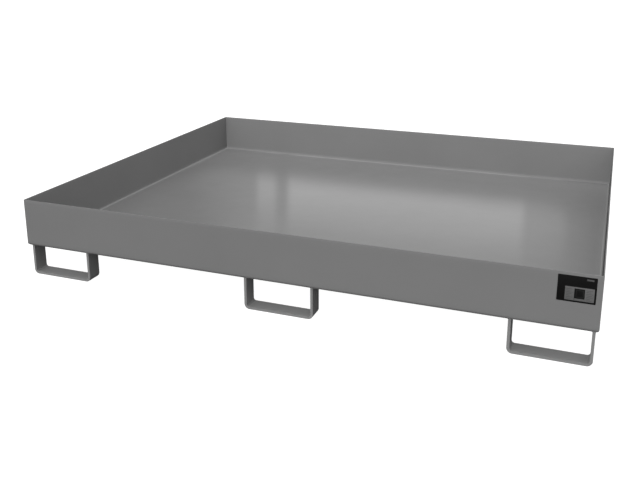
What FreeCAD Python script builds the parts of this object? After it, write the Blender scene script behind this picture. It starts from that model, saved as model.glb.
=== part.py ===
import FreeCAD, Part

import os

V = FreeCAD.Vector

# Spill containment pallet, in millimetres: an open steel tray on six loop feet that leave room for
# forks. The origin is on the ground under the centre of the tray, +X runs along the length, +Y to
# the back and +Z up. The label side is the front.

# Tray
LENGTH = 1750.0
WIDTH = 1400.0
TRAY_HEIGHT = 154.0
FORK_CLEARANCE = 100.0
SHEET = 3.0
BEND_INNER_RADIUS = 8.0
CORNER_WELD = 2.2

# Loop feet, bent from flat bar
FOOT_WIDTH = 216.0
BAR_WIDTH = 50.0
BAR_THICKNESS = 8.0
BAR_EDGE_RADIUS = 1.0
FOOT_INNER_RADIUS = 8.0
FOOT_END_INSET = 8.0
FOOT_FACE_INSET = 12.0

# Fillet welds between the feet and the tray
WELD_LEG = 5.0
WELD_BULGE = 0.6
WELD_END_GAP = 2.0

# Type label on the front wall
LABEL_LENGTH = 94.0
LABEL_HEIGHT = 70.0
LABEL_THICKNESS = 0.8
LABEL_CORNER_RADIUS = 2.0
LABEL_END_GAP = 15.0
LABEL_RIM_GAP = 8.0

FLOOR_UNDERSIDE = FORK_CLEARANCE
RIM = FORK_CLEARANCE + TRAY_HEIGHT
BEND_OUTER_RADIUS = BEND_INNER_RADIUS + SHEET
FOOT_OUTER_RADIUS = FOOT_INNER_RADIUS + BAR_THICKNESS
OVERSHOOT = 10.0

END_FOOT_X = LENGTH / 2 - FOOT_END_INSET - FOOT_WIDTH / 2
FOOT_ROW_Y = WIDTH / 2 - FOOT_FACE_INSET - BAR_WIDTH / 2
FOOT_ROWS = {"front": -FOOT_ROW_Y, "back": FOOT_ROW_Y}
FOOT_PLACES = {"left": -END_FOOT_X, "middle": 0.0, "right": END_FOOT_X}
CORNERS = {"front_left": (-1, -1), "front_right": (1, -1), "back_left": (-1, 1), "back_right": (1, 1)}


def save(shape, node):
    """Write one node's STEP file."""
    shape.exportStep(os.path.join("parts", node + ".step"))


def trough(size, base, top, radius, depth, along):
    """A bar with a U section: two rounded lower edges running the full depth, along X or Y."""
    half = size / 2
    diagonal = radius * (1 - 0.5 ** 0.5)
    section = [
        Part.LineSegment(V(-half, 0, top), V(-half, 0, base + radius)),
        Part.Arc(
            V(-half, 0, base + radius),
            V(-half + diagonal, 0, base + diagonal),
            V(-half + radius, 0, base),
        ),
        Part.LineSegment(V(-half + radius, 0, base), V(half - radius, 0, base)),
        Part.Arc(
            V(half - radius, 0, base),
            V(half - diagonal, 0, base + diagonal),
            V(half, 0, base + radius),
        ),
        Part.LineSegment(V(half, 0, base + radius), V(half, 0, top)),
        Part.LineSegment(V(half, 0, top), V(-half, 0, top)),
    ]
    face = Part.Face(Part.Wire([curve.toShape() for curve in section]))
    bar = face.extrude(V(0, depth, 0))
    bar.translate(V(0, -depth / 2, 0))
    if along == "X":
        bar.rotate(V(0, 0, 0), V(0, 0, 1), 90)
    return bar


def tub(length, width, base, top, radius):
    """A block whose four lower edges are rounded and whose rounded edges meet in mitres."""
    side_profile = trough(length, base, top, radius, width, "Y")
    end_profile = trough(width, base, top, radius, length, "X")
    return side_profile.common(end_profile)


def tray_envelope():
    """The tray's outer shape, filled."""
    return tub(LENGTH, WIDTH, FLOOR_UNDERSIDE, RIM, BEND_OUTER_RADIUS)


def corner_column(side_x, side_y):
    """The square notch that the sheet leaves along one outer corner."""
    column = Part.makeBox(CORNER_WELD + OVERSHOOT, CORNER_WELD + OVERSHOOT, TRAY_HEIGHT + 2 * OVERSHOOT)
    x = LENGTH / 2 - CORNER_WELD if side_x > 0 else -LENGTH / 2 - OVERSHOOT
    y = WIDTH / 2 - CORNER_WELD if side_y > 0 else -WIDTH / 2 - OVERSHOOT
    column.translate(V(x, y, FLOOR_UNDERSIDE - OVERSHOOT))
    return column


def make_tray_pan():
    """Floor and four walls folded up from one sheet, with the outer corners notched for welding."""
    cavity = tub(
        LENGTH - 2 * SHEET,
        WIDTH - 2 * SHEET,
        FLOOR_UNDERSIDE + SHEET,
        RIM + OVERSHOOT,
        BEND_INNER_RADIUS,
    )
    pan = tray_envelope().cut(cavity)
    for side_x, side_y in CORNERS.values():
        pan = pan.cut(corner_column(side_x, side_y))
    return pan


def make_corner_weld(side_x, side_y):
    """A round-faced seam that fills the notch from the lower bend to the rim."""
    seam = Part.makeCylinder(CORNER_WELD, TRAY_HEIGHT, V(0, 0, FLOOR_UNDERSIDE))
    seam.translate(V(side_x * (LENGTH / 2 - CORNER_WELD), side_y * (WIDTH / 2 - CORNER_WELD), 0))
    return seam.common(corner_column(side_x, side_y)).common(tray_envelope())


def make_foot(x, y):
    """A loop of flat bar, open at the top, with its bar's long edges slightly rounded."""
    outer = trough(FOOT_WIDTH, 0, FORK_CLEARANCE, FOOT_OUTER_RADIUS, BAR_WIDTH, "Y")
    opening = trough(
        FOOT_WIDTH - 2 * BAR_THICKNESS,
        BAR_THICKNESS,
        FORK_CLEARANCE + OVERSHOOT,
        FOOT_INNER_RADIUS,
        BAR_WIDTH + 2 * OVERSHOOT,
        "Y",
    )
    foot = outer.cut(opening)
    long_edges = [edge for edge in foot.Edges if is_long_bar_edge(edge)]
    foot = foot.makeFillet(BAR_EDGE_RADIUS, long_edges)
    foot.translate(V(x, y, 0))
    return foot


def is_long_bar_edge(edge):
    """True for the edges that run around the loop on the bar's front and back."""
    box = edge.BoundBox
    on_bar_face = abs(abs(box.Center.y) - BAR_WIDTH / 2) < 0.01 and box.YLength < 0.01
    on_cut_end = abs(box.ZMin - FORK_CLEARANCE) < 0.01
    return on_bar_face and not on_cut_end


def make_fillet_weld(x, y, side):
    """One convex fillet bead in the corner between a leg's face and the tray's underside."""
    root = V(x, y, FLOOR_UNDERSIDE)
    leg_toe = root + V(0, 0, -WELD_LEG)
    middle = root + V(side * (WELD_LEG / 2 + WELD_BULGE), 0, -WELD_LEG / 2 - WELD_BULGE)
    tray_toe = root + V(side * WELD_LEG, 0, 0)
    top_outer = tray_toe + V(0, 0, BEND_OUTER_RADIUS)
    top_inner = root + V(0, 0, BEND_OUTER_RADIUS)
    section = [
        Part.Arc(leg_toe, middle, tray_toe),
        Part.LineSegment(tray_toe, top_outer),
        Part.LineSegment(top_outer, top_inner),
        Part.LineSegment(top_inner, leg_toe),
    ]
    face = Part.Face(Part.Wire([curve.toShape() for curve in section]))
    bead_length = BAR_WIDTH - 2 * WELD_END_GAP
    bead = face.extrude(V(0, bead_length, 0))
    bead.translate(V(0, -bead_length / 2, 0))
    return bead.cut(tray_envelope())


def make_leg_weld(foot_x, foot_y, side):
    """The two beads that hold one leg of a foot: one outside the loop and one inside it."""
    outside = make_fillet_weld(foot_x + side * FOOT_WIDTH / 2, foot_y, side)
    inside = make_fillet_weld(foot_x + side * (FOOT_WIDTH / 2 - BAR_THICKNESS), foot_y, -side)
    return Part.makeCompound(outside.Solids + inside.Solids)


def make_type_label():
    """A thin rounded plate stuck to the front wall, near its right end and just under the rim."""
    plate = Part.makeBox(LABEL_LENGTH, LABEL_THICKNESS, LABEL_HEIGHT)
    upright_edges = [edge for edge in plate.Edges if edge.BoundBox.YLength > LABEL_THICKNESS / 2]
    plate = plate.makeFillet(LABEL_CORNER_RADIUS, upright_edges)
    left = LENGTH / 2 - LABEL_END_GAP - LABEL_LENGTH
    bottom = RIM - LABEL_RIM_GAP - LABEL_HEIGHT
    plate.translate(V(left, -WIDTH / 2 - LABEL_THICKNESS, bottom))
    return plate


def main():
    os.makedirs("parts", exist_ok=True)
    save(make_tray_pan(), "tray_pan")
    for corner, (side_x, side_y) in CORNERS.items():
        save(make_corner_weld(side_x, side_y), "corner_weld_" + corner)
    for row, y in FOOT_ROWS.items():
        for place, x in FOOT_PLACES.items():
            foot = row + "_" + place
            save(make_foot(x, y), "foot_" + foot)
            save(make_leg_weld(x, y, -1), "foot_weld_" + foot + "_left_leg")
            save(make_leg_weld(x, y, 1), "foot_weld_" + foot + "_right_leg")
    save(make_type_label(), "type_label")


main()
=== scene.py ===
import math

import bmesh
import bpy
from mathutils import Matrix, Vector, noise


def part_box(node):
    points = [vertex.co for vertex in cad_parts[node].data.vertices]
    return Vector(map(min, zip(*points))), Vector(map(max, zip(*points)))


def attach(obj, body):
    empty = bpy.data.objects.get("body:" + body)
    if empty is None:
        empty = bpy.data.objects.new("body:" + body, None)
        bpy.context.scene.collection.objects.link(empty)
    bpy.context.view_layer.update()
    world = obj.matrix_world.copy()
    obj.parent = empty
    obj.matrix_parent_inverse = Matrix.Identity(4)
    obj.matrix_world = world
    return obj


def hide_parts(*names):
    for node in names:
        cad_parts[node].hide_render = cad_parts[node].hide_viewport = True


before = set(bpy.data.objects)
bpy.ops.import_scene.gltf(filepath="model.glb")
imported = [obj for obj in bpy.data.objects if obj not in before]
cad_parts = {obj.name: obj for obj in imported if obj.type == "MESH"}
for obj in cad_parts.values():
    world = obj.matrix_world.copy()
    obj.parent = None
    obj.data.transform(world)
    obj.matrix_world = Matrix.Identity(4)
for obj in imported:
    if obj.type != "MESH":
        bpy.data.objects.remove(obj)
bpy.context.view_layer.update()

MM = 0.001

# ---------------------------------------------------------------- sizes, from the frame and the sheet

PAN_LOW, PAN_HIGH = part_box("tray_pan")
HALF_LENGTH = PAN_HIGH.x
HALF_WIDTH = PAN_HIGH.y
UNDERSIDE = PAN_LOW.z
RIM = PAN_HIGH.z
SHEET = 3 * MM
BEND_INNER_RADIUS = 8 * MM
BEND_OUTER_RADIUS = BEND_INNER_RADIUS + SHEET
RIM_EDGE_RADIUS = 0.6 * MM
CORNER_NOTCH = 2.2 * MM

SIDES = {"left": -1, "middle": 0, "right": 1}
ROWS = {"front": -1, "back": 1}


# ---------------------------------------------------------------- shader nodes


class Nodes:
    """A short way to add and join the shader nodes of a material or the world."""

    def __init__(self, owner, shader="Principled BSDF"):
        owner.use_nodes = True
        self.tree = owner.node_tree
        self.shader = self.tree.nodes[shader]

    def add(self, kind, **settings):
        node = self.tree.nodes.new(kind)
        for key, value in settings.items():
            setattr(node, key, value)
        return node

    def join(self, out_socket, in_socket):
        self.tree.links.new(out_socket, in_socket)

    def noise(self, scale, detail=2.0, roughness=0.5):
        """Fractal noise over the object's own coordinates; scale is in cycles per metre."""
        place = self.add("ShaderNodeTexCoord")
        texture = self.add("ShaderNodeTexNoise")
        texture.inputs["Scale"].default_value = scale
        texture.inputs["Detail"].default_value = detail
        texture.inputs["Roughness"].default_value = roughness
        self.join(place.outputs["Object"], texture.inputs["Vector"])
        return texture.outputs["Fac"]

    def span(self, value, low, high, from_low=0.0, from_high=1.0):
        """Maps a value from one range to another."""
        node = self.add("ShaderNodeMapRange")
        node.inputs["From Min"].default_value = from_low
        node.inputs["From Max"].default_value = from_high
        node.inputs["To Min"].default_value = low
        node.inputs["To Max"].default_value = high
        self.join(value, node.inputs["Value"])
        return node.outputs["Result"]

    def smooth(self, value, low, high, from_low, from_high):
        """The same with soft ends."""
        result = self.span(value, low, high, from_low, from_high)
        result.node.interpolation_type = "SMOOTHSTEP"
        return result

    def maths(self, operation, first, second):
        node = self.add("ShaderNodeMath", operation=operation)
        for socket, value in zip(node.inputs, (first, second)):
            if isinstance(value, (int, float)):
                socket.default_value = value
            else:
                self.join(value, socket)
        return node.outputs["Value"]

    def times(self, first, *others):
        for other in others:
            first = self.maths("MULTIPLY", first, other)
        return first

    def blend(self, factor, dark, light):
        """A colour between two colours."""
        node = self.add("ShaderNodeMix", data_type="RGBA")
        self.join(factor, node.inputs["Factor"])
        node.inputs[6].default_value = (*dark, 1.0)
        node.inputs[7].default_value = (*light, 1.0)
        return node.outputs[2]

    def darken(self, colour, share):
        """A colour mixed with some black."""
        node = self.add("ShaderNodeMix", data_type="RGBA")
        self.join(share, node.inputs["Factor"])
        self.join(colour, node.inputs[6])
        node.inputs[7].default_value = (0.0, 0.0, 0.0, 1.0)
        return node.outputs[2]

    def bump(self, height, distance):
        node = self.add("ShaderNodeBump")
        node.inputs["Distance"].default_value = distance
        self.join(height, node.inputs["Height"])
        return node.outputs["Normal"]


# ---------------------------------------------------------------- camera, lights and floor


CAMERA_PLACE = (0.856, -2.615, 1.016)
CAMERA_TURN_LEFT = 20.64
CAMERA_TILT_DOWN = 15.09
CAMERA_LENS = 44.48
CAMERA_SENSOR = 36.0
CAMERA_SHIFT_UP = -0.117

# Lights without shadows: azimuth and elevation in degrees, strength, and spread in degrees.
# Azimuth 0 is from the front (-Y) and 90 from the right (+X).
KEY_LIGHT = (0, 24, 1.97, 60)
FILL_LIGHT = (225, 3, 1.3, 10)

# The surround's radiance. Each pair is where a change starts and ends, as a share of a unit direction.
LOWER_LIGHT = 0.045
HORIZON_LIGHT = 0.36
OVERHEAD_LIGHT = 0.82
SIDE_LIGHT = 0.65
HORIZON_BLUR = (-0.04, 0.04)
OVERHEAD_RISE = (0.0, 0.7)
SIDE_REACH = (0.2, 0.9)
SIDE_RISE = (0.2, 0.6)

# Behind the tray the low part of the surround is dark, but for a share that ends on the left at two
# azimuths in degrees. That share falls as height over depth rises.
BEHIND_DEPTH = (0.5, 0.7)
BEHIND_RISE = (0.40, 0.55)
BEHIND_LEFT_END = (-34.0, -22.0)
BEHIND_SHARES = (0.50, 0.12)
BEHIND_SHARE_HEIGHTS = (0.272, 0.298)
MIN_DEPTH = 0.05

# Soft panels behind the tray, which its floor mirrors: left and right azimuth from +Y in degrees, the
# softness of those two edges, and strength. The glow spreads round the panels. Heights are over depth.
GLOW = (-28.5, -1.7, 4.0, 0.26)
PANELS = (
    (-25.4, -24.0, 0.4, 0.44),
    (-23.1, -5.4, 0.4, 0.62),
    (-5.2, -2.8, 0.4, 0.20),
)
PANEL_FOOT = (0.309, 0.333)
PANEL_SHOULDER = (0.335, 0.382)
PANEL_TOP = (0.45, 0.60)
PANEL_UPPER_SHARE = 0.20

# The stage floor
STAGE_REACH = 40.0
STAGE_BACKDROP_HEIGHT = 12.0
STAGE_SIDES = 64
STAGE_GREY = 0.30
STAGE_GLOW = 0.94


def make_camera():
    """A view from the front right, looking down into the tray."""
    data = bpy.data.cameras.new("camera")
    data.lens = CAMERA_LENS
    data.sensor_width = CAMERA_SENSOR
    data.shift_y = CAMERA_SHIFT_UP
    camera = bpy.data.objects.new("camera", data)
    camera.location = CAMERA_PLACE
    tilt = math.pi / 2 - math.radians(CAMERA_TILT_DOWN)
    camera.rotation_euler = (tilt, 0.0, math.radians(CAMERA_TURN_LEFT))
    bpy.context.scene.collection.objects.link(camera)
    bpy.context.scene.camera = camera


def make_sun(name, azimuth, elevation, strength, spread):
    """A light from one direction, which casts no shadow and doesn't show in the coat."""
    data = bpy.data.lights.new(name, "SUN")
    data.energy = strength
    data.angle = math.radians(spread)
    data.use_shadow = False
    sun = bpy.data.objects.new(name, data)
    sun.visible_glossy = False
    az = math.radians(azimuth)
    el = math.radians(elevation)
    towards = Vector((math.sin(az) * math.cos(el), -math.cos(az) * math.cos(el), math.sin(el)))
    sun.rotation_euler = towards.to_track_quat("Z", "Y").to_euler()
    bpy.context.scene.collection.objects.link(sun)


def tangents(degrees):
    """Angles from +Y as sideways distance over depth."""
    return [math.tan(math.radians(angle)) for angle in degrees]


def panel_light(nodes, across, upright, left, right, edge, strength):
    """The light of one soft-edged panel behind the tray."""
    left, right, edge = tangents((left, right, edge))
    rise = nodes.smooth(across, 0.0, 1.0, left - edge, left + edge)
    fall = nodes.smooth(across, 1.0, 0.0, right - edge, right + edge)
    panel = nodes.times(rise, fall, upright)
    return nodes.times(panel, strength)


def make_world():
    """A pale studio surround: dim below the horizon and low down behind the tray, brighter high up on
    the right, and with a row of tall soft panels behind the tray."""
    world = bpy.data.worlds.new("studio")
    nodes = Nodes(world, "Background")
    direction = nodes.add("ShaderNodeTexCoord")
    parts = nodes.add("ShaderNodeSeparateXYZ")
    nodes.join(direction.outputs["Generated"], parts.inputs["Vector"])
    x, y, z = parts.outputs
    depth = nodes.maths("MAXIMUM", y, MIN_DEPTH)
    across = nodes.maths("DIVIDE", x, depth)
    height = nodes.maths("DIVIDE", z, depth)

    behind = nodes.times(nodes.span(y, 0.0, 1.0, *BEHIND_DEPTH), nodes.span(z, 1.0, 0.0, *BEHIND_RISE))
    kept = nodes.smooth(height, *BEHIND_SHARES, *BEHIND_SHARE_HEIGHTS)
    kept = nodes.times(kept, nodes.smooth(across, 0.0, 1.0, *tangents(BEHIND_LEFT_END)))
    dimming = nodes.times(behind, nodes.span(kept, 1.0, 0.0))
    sky = nodes.span(z, HORIZON_LIGHT, OVERHEAD_LIGHT, *OVERHEAD_RISE)
    sky = nodes.times(sky, nodes.span(dimming, 1.0, 0.0))
    side = nodes.times(nodes.span(x, 0.0, SIDE_LIGHT, *SIDE_REACH), nodes.span(z, 0.0, 1.0, *SIDE_RISE))
    sky = nodes.maths("ADD", sky, side)
    above = nodes.span(z, 0.0, 1.0, *HORIZON_BLUR)
    light = nodes.maths("ADD", nodes.times(above, sky), LOWER_LIGHT)

    foot = nodes.smooth(height, 0.0, 1.0, *PANEL_FOOT)
    upright = nodes.times(foot, nodes.smooth(height, 1.0, 0.0, *PANEL_TOP))
    light = nodes.maths("ADD", light, panel_light(nodes, across, upright, *GLOW))
    fading = nodes.times(upright, nodes.span(height, 1.0, PANEL_UPPER_SHARE, *PANEL_SHOULDER))
    for panel in PANELS:
        light = nodes.maths("ADD", light, panel_light(nodes, across, fading, *panel))
    nodes.shader.inputs["Color"].default_value = (1.0, 1.0, 1.0, 1.0)
    nodes.join(light, nodes.shader.inputs["Strength"])
    bpy.context.scene.world = world


def stage_material():
    """A pale matt surface with a glow of its own, so that it shows almost no shadow."""
    material = bpy.data.materials.new("pale_floor")
    material.use_nodes = True
    shader = material.node_tree.nodes["Principled BSDF"]
    shader.inputs["Base Color"].default_value = (STAGE_GREY, STAGE_GREY, STAGE_GREY, 1.0)
    shader.inputs["Emission Color"].default_value = (1.0, 1.0, 1.0, 1.0)
    shader.inputs["Emission Strength"].default_value = STAGE_GLOW
    shader.inputs["Roughness"].default_value = 1.0
    shader.inputs["Specular IOR Level"].default_value = 0.0
    return material


def make_floor():
    """A wide, plain floor that turns up into a backdrop far away. It neither lights the tray nor shows
    in the tray's coat."""
    turns = [2 * math.pi * i / STAGE_SIDES for i in range(STAGE_SIDES)]
    low = [(STAGE_REACH * math.cos(turn), STAGE_REACH * math.sin(turn), 0.0) for turn in turns]
    high = [(x, y, STAGE_BACKDROP_HEIGHT) for x, y, _ in low]
    faces = [tuple(range(STAGE_SIDES))]
    for i in range(STAGE_SIDES):
        j = (i + 1) % STAGE_SIDES
        faces.append((i, j, STAGE_SIDES + j, STAGE_SIDES + i))
    mesh = bpy.data.meshes.new("studio_floor")
    mesh.from_pydata(low + high, [], faces)
    mesh.materials.append(stage_material())
    floor = bpy.data.objects.new("studio_floor", mesh)
    bpy.context.scene.collection.objects.link(floor)
    floor.visible_diffuse = False
    floor.visible_glossy = False


# ---------------------------------------------------------------- materials


# How much painted shade darkens the insides of the bends, and the slopes (up is 1) between which it shows
BEND_PAINTED_SHADE = 0.17
PAINTED_SHADE_SLOPES = (0.05, 0.35, 0.9, 0.995)

# Powder coats: grey, lowest and highest roughness, height of the orange peel, and weight of clear coat
TRAY_COAT = (0.20, 0.40, 0.48, 0.004 * MM, 1.0)
# The feet's grey is painted light: lighter than the tray's same coat, to make up for the shade under the
# tray.
FOOT_COAT_PAINTED_LIGHTER = (0.235, 0.40, 0.50, 0.006 * MM, 0.0)
WELD_COAT = (0.20, 0.34, 0.46, 0.03 * MM, 0.0)
COAT_VARIATION = 0.05
COAT_IOR = 1.5
COAT_SPECULAR = 0.2
CLEAR_COAT_ROUGHNESS = 0.06

INK_VARIATION = 0.08
INK_ROUGHNESS = 0.5
INK_SPECULAR = 0.25
INK_GRAIN = 0.01 * MM


def bend_shade_mask(nodes):
    """Where painted shade darkens the colour: 1 on surfaces that face partly up, as the insides of the
    bends do, and 0 on walls and flats.
    """
    place = nodes.add("ShaderNodeTexCoord")
    parts = nodes.add("ShaderNodeSeparateXYZ")
    nodes.join(place.outputs["Normal"], parts.inputs["Vector"])
    upward = parts.outputs["Z"]
    past_wall = nodes.smooth(upward, 0.0, 1.0, *PAINTED_SHADE_SLOPES[:2])
    before_flat = nodes.smooth(upward, 1.0, 0.0, *PAINTED_SHADE_SLOPES[2:])
    return nodes.times(past_wall, before_flat)


def powder_coat(name, grey, gloss_low, gloss_high, peel, coat):
    """Grey powder coat on steel: an even colour with faint clouding, painted shade in the insides of the
    bends, and an orange-peel surface.
    """
    material = bpy.data.materials.new(name)
    nodes = Nodes(material)
    clouds = nodes.noise(scale=3.2, detail=3.0)
    specks = nodes.noise(scale=420.0, detail=1.0)
    mixed = nodes.maths("ADD", nodes.times(clouds, 0.7), nodes.times(specks, 0.3))
    darkest = grey * (1 - COAT_VARIATION)
    lightest = grey * (1 + COAT_VARIATION)
    colour = nodes.blend(nodes.span(mixed, 0.0, 1.0, 0.3, 0.7), (darkest,) * 3, (lightest,) * 3)
    # Painted shade: the colour is mixed with black where the surface faces partly up, as in the bends.
    painted_shade = nodes.times(bend_shade_mask(nodes), BEND_PAINTED_SHADE)
    nodes.join(nodes.darken(colour, painted_shade), nodes.shader.inputs["Base Color"])
    smears = nodes.noise(scale=9.0, detail=4.0, roughness=0.6)
    nodes.join(nodes.span(smears, gloss_low, gloss_high, 0.3, 0.7), nodes.shader.inputs["Roughness"])
    fine = nodes.noise(scale=520.0, detail=2.0, roughness=0.45)
    broad = nodes.noise(scale=170.0, detail=1.0)
    height = nodes.maths("ADD", nodes.times(fine, 0.4), nodes.times(broad, 0.6))
    nodes.join(nodes.bump(height, peel), nodes.shader.inputs["Normal"])
    nodes.shader.inputs["IOR"].default_value = COAT_IOR
    nodes.shader.inputs["Specular IOR Level"].default_value = COAT_SPECULAR
    nodes.shader.inputs["Coat Weight"].default_value = coat
    nodes.shader.inputs["Coat Roughness"].default_value = CLEAR_COAT_ROUGHNESS
    return material


def label_print(name, grey):
    """Printed film: flat ink with a very fine grain."""
    material = bpy.data.materials.new(name)
    nodes = Nodes(material)
    grain = nodes.noise(scale=900.0, detail=2.0)
    darkest = grey * (1 - INK_VARIATION)
    lightest = grey * (1 + INK_VARIATION)
    colour = nodes.blend(nodes.span(grain, 0.0, 1.0, 0.35, 0.65), (darkest,) * 3, (lightest,) * 3)
    nodes.join(colour, nodes.shader.inputs["Base Color"])
    rough = nodes.span(grain, INK_ROUGHNESS - 0.05, INK_ROUGHNESS + 0.05)
    nodes.join(rough, nodes.shader.inputs["Roughness"])
    nodes.join(nodes.bump(grain, INK_GRAIN), nodes.shader.inputs["Normal"])
    nodes.shader.inputs["Specular IOR Level"].default_value = INK_SPECULAR
    return material


# ---------------------------------------------------------------- mesh helpers


DOUBLE_DISTANCE = 1e-6
DEGENERATE_DISTANCE = 1e-7
TRAY_SHARP_ANGLE = 35
BEAD_SHARP_ANGLE = 50
LABEL_SHARP_ANGLE = 30


def add_piece(name, mesh, material, slot, *replaced):
    """Puts a finished mesh in the scene as a piece that rides on the tray. No piece shows in the
    tray's coat, so the floor mirrors the studio's panels over its whole width."""
    piece = bpy.data.objects.new(name, mesh)
    bpy.context.scene.collection.objects.link(piece)
    mesh.materials.append(material)
    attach(piece, "root")
    if replaced:
        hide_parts(*replaced)
    piece.visible_glossy = False


def finish_mesh(name, bm, sharp_degrees):
    """Closes up doubled points, shades the mesh smooth and keeps its real corners sharp."""
    bmesh.ops.remove_doubles(bm, verts=bm.verts, dist=DOUBLE_DISTANCE)
    bmesh.ops.dissolve_degenerate(bm, edges=bm.edges, dist=DEGENERATE_DISTANCE)
    bmesh.ops.recalc_face_normals(bm, faces=bm.faces)
    limit = math.radians(sharp_degrees)
    for edge in bm.edges:
        edge.smooth = len(edge.link_faces) == 2 and edge.calc_face_angle(0.0) < limit
    for face in bm.faces:
        face.smooth = True
    mesh = bpy.data.meshes.new(name)
    bm.to_mesh(mesh)
    bm.free()
    return mesh


def bridge(bm, sections):
    """Joins closed sections in order and caps both ends."""
    count = len(sections[0])
    for first, second in zip(sections, sections[1:]):
        for i in range(count):
            j = (i + 1) % count
            bm.faces.new((first[i], first[j], second[j], second[i]))
    bm.faces.new(sections[0])
    bm.faces.new(sections[-1])


def smoothstep(value, low, high):
    """0 below one limit and 1 above the other, with a smooth rise between them."""
    t = min(max((value - low) / (high - low), 0.0), 1.0)
    return t * t * (3 - 2 * t)


def bend_rise(inset, radius):
    """Height of a lower bend's surface above the flat, at a distance in from the wall's face."""
    if inset >= radius:
        return 0.0
    return radius - math.sqrt(radius * radius - (radius - inset) ** 2)


# ---------------------------------------------------------------- the tray


BEND_STEPS = 8
RIM_STEPS = 3
WALL_ROWS = 14
CELL = 20 * MM
CORNER_POINTS = 3

# How the sheet stands off its planes: depths, noise cycles per metre, and how far in from the edges
# each effect grows to its full size
FLOOR_SAG = 1.6 * MM
FLOOR_SAG_LENGTH = 250 * MM
FLOOR_SAG_WIDTH = 700 * MM
FLOOR_WAVE = 0.08 * MM
FLOOR_WAVE_SCALE = 2.3
FLOOR_WAVE_PLACE = Vector((4.1, 1.7, 0.5))
FLOOR_WAVE_GROWTH_X = (60 * MM, 320 * MM)
FLOOR_WAVE_GROWTH_Y = (70 * MM, 320 * MM)
WALL_WAVE = 0.25 * MM
WALL_WAVE_SCALE = 2.1
WALL_WAVE_RISE = (0.08, 0.9)
WALL_WAVE_HOLD = 200 * MM


def sheet_stations():
    """(inset from the outer face, height, 0 outside to 1 inside) from the underside round to the floor."""
    stations = []
    for i in range(BEND_STEPS + 1):
        angle = math.pi / 2 * i / BEND_STEPS
        inset = BEND_OUTER_RADIUS * (1 - math.sin(angle))
        stations.append((inset, UNDERSIDE + BEND_OUTER_RADIUS * (1 - math.cos(angle)), 0.0))
    notch_end = UNDERSIDE + bend_rise(CORNER_NOTCH, BEND_OUTER_RADIUS)
    stations.append((CORNER_NOTCH, notch_end, 0.0))
    stations.sort(key=lambda s: s[1])
    wall_low = UNDERSIDE + BEND_OUTER_RADIUS
    wall_high = RIM - RIM_EDGE_RADIUS
    heights = [wall_low + (wall_high - wall_low) * i / WALL_ROWS for i in range(1, WALL_ROWS + 1)]
    stations += [(0.0, z, 0.0) for z in heights]
    for i in range(1, RIM_STEPS + 1):
        angle = math.pi / 2 * i / RIM_STEPS
        inset = RIM_EDGE_RADIUS * (1 - math.cos(angle))
        stations.append((inset, wall_high + RIM_EDGE_RADIUS * math.sin(angle), 0.0))
    for i in range(RIM_STEPS + 1):
        angle = math.pi / 2 * i / RIM_STEPS
        inset = SHEET - RIM_EDGE_RADIUS * (1 - math.sin(angle))
        stations.append((inset, wall_high + RIM_EDGE_RADIUS * math.cos(angle), 1.0))
    stations += [(SHEET, z, 1.0) for z in reversed(heights[:-1])]
    for i in range(BEND_STEPS + 1):
        angle = math.pi / 2 * i / BEND_STEPS
        inset = SHEET + BEND_INNER_RADIUS * (1 - math.cos(angle))
        stations.append((inset, UNDERSIDE + BEND_OUTER_RADIUS - BEND_INNER_RADIUS * math.sin(angle), 1.0))
    return stations


def grid_lines(half):
    """Evenly spaced positions between the two ends of the flat floor."""
    flat = half - BEND_OUTER_RADIUS
    count = round(2 * flat / CELL)
    return [-flat + 2 * flat * i / count for i in range(count + 1)]


def floor_height(x, y):
    """Height of the sheet over its flat plane; it is held flat at the bends and feet."""
    from_end = HALF_LENGTH - abs(x)
    from_side = HALF_WIDTH - abs(y)
    free = smoothstep(from_end, *FLOOR_WAVE_GROWTH_X) * smoothstep(from_side, *FLOOR_WAVE_GROWTH_Y)
    sag = smoothstep(from_end, 0.0, FLOOR_SAG_LENGTH) * smoothstep(from_side, 0.0, FLOOR_SAG_WIDTH)
    wave = noise.noise(Vector((x, y, 0.0)) * FLOOR_WAVE_SCALE + FLOOR_WAVE_PLACE)
    return 2 * FLOOR_WAVE * free * wave - FLOOR_SAG * sag


def wall_wave(along, z, seed):
    """How far a wall stands in from its plane; the lower bend and the corners hold it straight."""
    height = (z - UNDERSIDE) / (RIM - UNDERSIDE)
    free = smoothstep(height, *WALL_WAVE_RISE)
    wave = 0.5 + 0.5 * noise.noise(Vector((along * WALL_WAVE_SCALE + seed, height * 0.8, seed * 3.3)))
    return WALL_WAVE * free * wave


def ring(xs, ys, inset, z, inside):
    """Points around the tray at one station, anticlockwise from the front left corner.
    Each corner has three points, which trace the outer notch and coincide elsewhere."""
    half_x = HALF_LENGTH - inset
    half_y = HALF_WIDTH - inset
    notch = 0.0 if inside else max(0.0, CORNER_NOTCH - inset)
    points = []

    def side(seed, values, half, place):
        reach = half - BEND_OUTER_RADIUS
        for along in values[1:-1]:
            hold = smoothstep(reach - abs(along), 0.0, WALL_WAVE_HOLD)
            points.append(place(along, wall_wave(along, z, seed) * hold))

    def corner(sx, sy, x_first):
        first = Vector((sx * half_x, sy * (half_y - notch), z))
        middle = Vector((sx * (half_x - notch), sy * (half_y - notch), z))
        last = Vector((sx * (half_x - notch), sy * half_y, z))
        points.extend([first, middle, last] if x_first else [last, middle, first])

    corner(-1, -1, True)
    side(1.0, xs, HALF_LENGTH, lambda a, w: Vector((a, -half_y + w, z)))
    corner(1, -1, False)
    side(2.0, ys, HALF_WIDTH, lambda a, w: Vector((half_x - w, a, z)))
    corner(1, 1, True)
    side(3.0, xs[::-1], HALF_LENGTH, lambda a, w: Vector((a, half_y - w, z)))
    corner(-1, 1, False)
    side(4.0, ys[::-1], HALF_WIDTH, lambda a, w: Vector((-half_x + w, a, z)))
    return points


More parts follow.
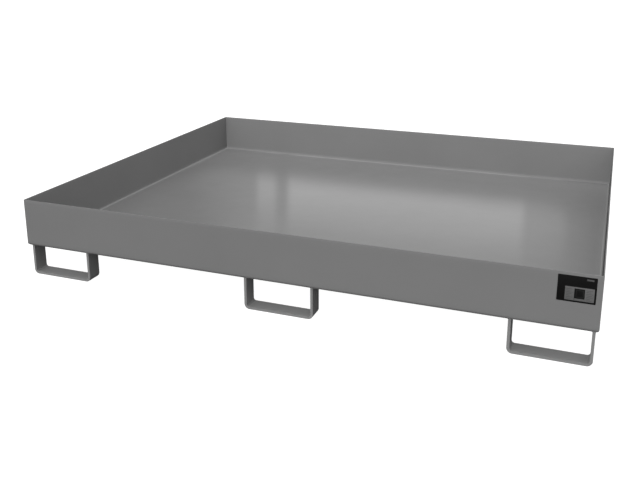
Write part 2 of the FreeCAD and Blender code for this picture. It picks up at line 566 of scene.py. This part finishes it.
def fill_floor(bm, xs, ys, edge_ring, z):
    """A sagging grid over the flat, joined to the inner end of the rings."""
    nx = len(xs) - 1
    ny = len(ys) - 1
    border = [(i, 0) for i in range(nx)]
    border += [(nx, j) for j in range(ny)]
    border += [(i, ny) for i in range(nx, 0, -1)]
    border += [(0, j) for j in range(ny, 0, -1)]
    corners = {(0, 0), (nx, 0), (nx, ny), (0, ny)}
    grid = {}
    at = 0
    for place in border:
        grid[place] = edge_ring[at]
        at += CORNER_POINTS if place in corners else 1
    for i in range(1, nx):
        for j in range(1, ny):
            grid[i, j] = bm.verts.new((xs[i], ys[j], z + floor_height(xs[i], ys[j])))
    for i in range(nx):
        for j in range(ny):
            bm.faces.new((grid[i, j], grid[i + 1, j], grid[i + 1, j + 1], grid[i, j + 1]))


def make_tray(material):
    """The folded sheet as one closed skin: underside, bends, walls, rim and floor."""
    xs = grid_lines(HALF_LENGTH)
    ys = grid_lines(HALF_WIDTH)
    bm = bmesh.new()
    rings = []
    for inset, z, inside in sheet_stations():
        rings.append([bm.verts.new(p) for p in ring(xs, ys, inset, z, inside)])
    count = len(rings[0])
    for lower, upper in zip(rings, rings[1:]):
        for i in range(count):
            j = (i + 1) % count
            bm.faces.new((lower[i], lower[j], upper[j], upper[i]))
    fill_floor(bm, xs, ys, rings[0], UNDERSIDE)
    fill_floor(bm, xs, ys, rings[-1], UNDERSIDE + SHEET)
    mesh = finish_mesh("tray_sheet", bm, TRAY_SHARP_ANGLE)
    add_piece("tray_sheet", mesh, material, "tray_coating", "tray_pan")


# ---------------------------------------------------------------- weld beads


RIPPLE = 2.4 * MM
RIPPLE_STEP = RIPPLE / 6
RIPPLE_SHARPNESS = 0.6

CORNER_ARC_STEPS = 6
CORNER_RIPPLE_DEPTH = 0.10
CORNER_RIPPLE_CURVE = 0.9 * MM

FILLET_STEPS = 7
FILLET_RIPPLE_DEPTH = 0.07
FILLET_RIPPLE_CURVE = 1.4 * MM
FILLET_BULGE = 0.13
FILLET_BULGE_SHARE = 0.7
FILLET_END_START = 0.15 * MM
FILLET_END_LENGTH = 1.6 * MM


def ripple(distance):
    """The stacked-coin profile of a weld bead: 0 in the valleys, 1 on the crests."""
    phase = (distance / RIPPLE) % 1.0
    return math.sin(math.pi * phase) ** RIPPLE_SHARPNESS


def make_corner_bead(corner, sx, sy, material):
    """A rippled vertical seam that fills one outer corner of the tray."""
    low = UNDERSIDE + bend_rise(CORNER_NOTCH, BEND_OUTER_RADIUS)
    rows = int((RIM - low) / RIPPLE_STEP)
    centre_x = HALF_LENGTH - CORNER_NOTCH
    centre_y = HALF_WIDTH - CORNER_NOTCH
    bm = bmesh.new()
    sections = []
    for row in range(rows + 1):
        z = low + (RIM - low) * row / rows
        below_bend = max(0.0, UNDERSIDE + BEND_OUTER_RADIUS - z)
        bend_inset = BEND_OUTER_RADIUS - math.sqrt(max(0.0, BEND_OUTER_RADIUS ** 2 - below_bend ** 2))
        reach = CORNER_NOTCH - bend_inset
        section = [(0.0, 0.0)]
        for k in range(CORNER_ARC_STEPS + 1):
            angle = math.pi / 2 * k / CORNER_ARC_STEPS
            crest = ripple(z - low + CORNER_RIPPLE_CURVE * math.sin(2 * angle))
            radius = CORNER_NOTCH * (1 - CORNER_RIPPLE_DEPTH * (1 - crest))
            section.append((min(radius * math.cos(angle), reach), min(radius * math.sin(angle), reach)))
        sections.append([bm.verts.new((sx * (centre_x + u), sy * (centre_y + v), z)) for u, v in section])
    bridge(bm, sections)
    mesh = finish_mesh("corner_bead_" + corner, bm, BEAD_SHARP_ANGLE)
    add_piece("corner_bead_" + corner, mesh, material, "weld_coating", "corner_weld_" + corner)


def add_fillet_bead(bm, root_x, centre_y, side, length, leg, rise):
    """One rippled bead between a leg's face at root_x and the underside; rise(u) is the underside's
    height above the flat at a distance u from the leg."""
    rows = int(length / RIPPLE_STEP)
    sections = []
    for row in range(rows + 1):
        along = length * row / rows
        from_end = min(along, length - along)
        fullness = math.sqrt(min(1.0, (from_end + FILLET_END_START) / FILLET_END_LENGTH))
        section = []
        for k in range(FILLET_STEPS + 1):
            share = k / FILLET_STEPS
            arch = math.sin(math.pi * share)
            crest = ripple(along + FILLET_RIPPLE_CURVE * arch)
            size = leg * fullness * (1 - FILLET_RIPPLE_DEPTH * (1 - crest))
            bulge = size * FILLET_BULGE * arch * FILLET_BULGE_SHARE
            section.append((size * share + bulge, -size * (1 - share) - bulge + rise(size) * share))
        toe = section[-1][0]
        section += [(toe * s, rise(toe * s)) for s in (0.75, 0.5, 0.25, 0.0)]
        y = centre_y - length / 2 + along
        sections.append([bm.verts.new((root_x + side * u, y, UNDERSIDE + v)) for u, v in section])
    bridge(bm, sections)


def make_leg_beads(foot, leg_name, side, material):
    """The two beads, outside and inside the loop, that hold one leg of a foot to the tray."""
    node = f"foot_weld_{foot}_{leg_name}_leg"
    low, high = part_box(node)
    foot_low, foot_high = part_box("foot_" + foot)
    outer_face = foot_high.x if side > 0 else foot_low.x
    leg_size = (high.x - outer_face) if side > 0 else (outer_face - low.x)
    inner_face = low.x + leg_size if side > 0 else high.x - leg_size
    centre_y = (low.y + high.y) / 2
    length = high.y - low.y
    flat_left = HALF_LENGTH - BEND_OUTER_RADIUS - abs(outer_face)

    def outside_rise(distance):
        return bend_rise(BEND_OUTER_RADIUS + flat_left - distance, BEND_OUTER_RADIUS)

    bm = bmesh.new()
    add_fillet_bead(bm, outer_face, centre_y, side, length, leg_size, outside_rise)
    add_fillet_bead(bm, inner_face, centre_y, -side, length, leg_size, lambda distance: 0.0)
    name = f"bead_{foot}_{leg_name}_leg"
    mesh = finish_mesh(name, bm, BEAD_SHARP_ANGLE)
    add_piece(name, mesh, material, "weld_coating", node)


# ---------------------------------------------------------------- the type label


# The film lies this far behind the label's front plane, which leaves room for the layers of ink
INK_ROOM = 0.2 * MM
FILM_CORNER = 2 * MM
FILM_BEVEL = 0.3 * MM
INK_STEP = 0.05 * MM
INK_DEPTH = 0.9 * INK_STEP
INK_BEVEL = 0.01 * MM
INK_CORNER = 0.6 * MM
LINE_CORNER = 0.2 * MM
RULE_CORNER = 0.1 * MM
MARK_CORNER = 1.0 * MM

# Printed areas as shares of the label's width from the left and height from the top: left, right,
# top, bottom
DATA_FIELD = (0.205, 0.95, 0.42, 0.935)
DRAWING_PANEL = (0.445, 0.71, 0.475, 0.85)
DIVIDER = (0.445, 0.455, 0.475, 0.92)
PANEL_FRAME = (0.49, 0.68, 0.53, 0.80)
PANEL_RULE = 0.01
HEADER_BAR = (0.735, 0.915, 0.075, 0.14)
FIRST_LINE = 0.50
LINE_PITCH = 0.062
LINE_HEIGHT = 0.018
LEFT_COLUMN = 0.235
LEFT_LINE_ENDS = (0.39, 0.35, 0.41, 0.38, 0.33, 0.40, 0.36)
RIGHT_COLUMN = 0.75
RIGHT_LINE_ENDS = (0.91, 0.87, 0.92, 0.89, 0.91, 0.85, 0.90)


def rounded_outline(left, right, bottom, top, radius, steps=5):
    """A rounded rectangle's points in the wall's plane, anticlockwise."""
    points = []
    corners = (
        (right - radius, bottom + radius, -90),
        (right - radius, top - radius, 0),
        (left + radius, top - radius, 90),
        (left + radius, bottom + radius, 180),
    )
    for cx, cz, start in corners:
        for k in range(steps + 1):
            angle = math.radians(start + 90 * k / steps)
            points.append((cx + radius * math.cos(angle), cz + radius * math.sin(angle)))
    return points


def add_slab(bm, outline, back, front, bevel):
    """A flat slab on the front wall with a small bevel round its face."""
    cx = sum(p[0] for p in outline) / len(outline)
    cz = sum(p[1] for p in outline) / len(outline)
    half_x = max(p[0] for p in outline) - cx
    half_z = max(p[1] for p in outline) - cz
    levels = [(back, 0.0), (front + bevel, 0.0), (front + 0.3 * bevel, 0.3 * bevel), (front, bevel)]
    sections = []
    for y, inset in levels:
        shrink_x = 1 - inset / half_x
        shrink_z = 1 - inset / half_z
        sections.append([
            bm.verts.new((cx + (x - cx) * shrink_x, y, cz + (z - cz) * shrink_z)) for x, z in outline
        ])
    bridge(bm, sections)


def data_lines(start, ends):
    """Rows of generic lines that start together and end at different places."""
    tops = [FIRST_LINE + LINE_PITCH * row for row in range(len(ends))]
    return [(start, end, top, top + LINE_HEIGHT) for top, end in zip(tops, ends)]


def frame_rules(left, right, top, bottom):
    """Four thin rules round an area."""
    return [
        (left, right, top, top + PANEL_RULE),
        (left, right, bottom - PANEL_RULE, bottom),
        (left, left + PANEL_RULE, top, bottom),
        (right - PANEL_RULE, right, top, bottom),
    ]


def make_label():
    """A black type label with a grey data field, a dark drawing panel and generic line marks."""
    low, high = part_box("type_label")
    width = high.x - low.x
    height = high.z - low.z
    film_front = low.y + INK_ROOM
    black = label_print("label_black", 0.006)
    field_grey = label_print("label_field_grey", 0.12)
    line_grey = label_print("label_line_grey", 0.08)
    panel_grey = label_print("label_panel_grey", 0.03)
    mark_grey = label_print("label_mark_grey", 0.08)

    def printed(name, areas, material, layer, radius=INK_CORNER):
        bm = bmesh.new()
        front = film_front - layer * INK_STEP
        for u0, u1, v0, v1 in areas:
            left = low.x + u0 * width
            right = low.x + u1 * width
            bottom = high.z - v1 * height
            top = high.z - v0 * height
            limit = 0.45 * min(right - left, top - bottom)
            outline = rounded_outline(left, right, bottom, top, min(radius, limit), 3)
            add_slab(bm, outline, front + INK_DEPTH, front, INK_BEVEL)
        mesh = finish_mesh(name, bm, LABEL_SHARP_ANGLE)
        add_piece(name, mesh, material, "label_film")

    bm = bmesh.new()
    outline = rounded_outline(low.x, high.x, low.z, high.z, FILM_CORNER)
    add_slab(bm, outline, high.y, film_front, FILM_BEVEL)
    mesh = finish_mesh("label_film", bm, LABEL_SHARP_ANGLE)
    add_piece("label_film", mesh, black, "label_film", "type_label")

    lines = data_lines(LEFT_COLUMN, LEFT_LINE_ENDS) + data_lines(RIGHT_COLUMN, RIGHT_LINE_ENDS)
    printed("label_data_field", [DATA_FIELD], field_grey, 1)
    printed("label_drawing_panel", [DRAWING_PANEL], black, 2)
    printed("label_divider", [DIVIDER], black, 3, RULE_CORNER)
    printed("label_data_lines", lines, line_grey, 2, LINE_CORNER)
    printed("label_panel_lines", frame_rules(*PANEL_FRAME), panel_grey, 4, RULE_CORNER)
    printed("label_header_bar", [HEADER_BAR], mark_grey, 1, MARK_CORNER)


# ---------------------------------------------------------------- build


def coat_feet(material):
    """The feet keep their CAD meshes, with the powder coat on them; its grey is painted lighter than the
    tray's to make up for the shade under the tray.
    """
    for row in ROWS:
        for place in SIDES:
            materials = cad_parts[f"foot_{row}_{place}"].data.materials
            materials.clear()
            materials.append(material)


def main():
    bpy.context.scene.view_settings.view_transform = "Standard"
    make_camera()
    make_world()
    make_floor()
    make_sun("key_front", *KEY_LIGHT)
    make_sun("fill_behind", *FILL_LIGHT)
    make_tray(powder_coat("tray_powder_coat", *TRAY_COAT))
    coat_feet(powder_coat("foot_powder_coat_painted_lighter", *FOOT_COAT_PAINTED_LIGHTER))
    weld_coat = powder_coat("weld_powder_coat", *WELD_COAT)
    for row, sy in ROWS.items():
        for place, sx in SIDES.items():
            foot = f"{row}_{place}"
            make_leg_beads(foot, "left", -1, weld_coat)
            make_leg_beads(foot, "right", 1, weld_coat)
            if sx:
                make_corner_bead(foot, sx, sy, weld_coat)
    make_label()


main()
